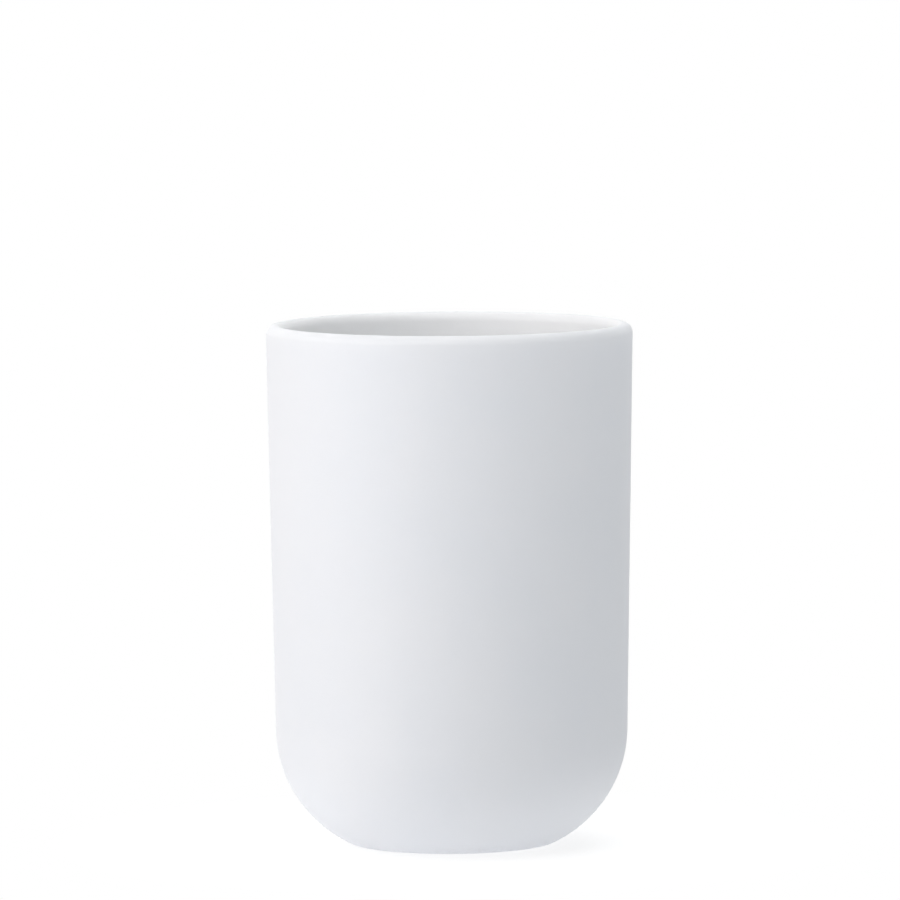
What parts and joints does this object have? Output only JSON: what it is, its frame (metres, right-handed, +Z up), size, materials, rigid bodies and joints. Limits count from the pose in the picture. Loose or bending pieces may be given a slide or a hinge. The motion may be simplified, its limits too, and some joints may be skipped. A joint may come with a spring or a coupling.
{
  "type": "toothbrush holder",
  "caption": "Open round tumbler with a thick rounded lip, a slightly tapered wall and a curved bottom on a soft ring foot. It holds toothbrushes upright.",
  "frame": {"origin": "on the table, where the axis of the cup meets it", "axes": "+Z up along the axis and out of the mouth; the cup is round, so +X and +Y are any two level directions"},
  "size_m": [0.08, 0.08, 0.114],
  "materials": {
    "cup_plastic": "fine matte, cool white",
    "foot_elastomer": "matte, pale grey"
  },
  "bodies": {
    "root": {"cup": "cup_plastic", "foot_ring": "foot_elastomer"}
  },
  "joints": []
}
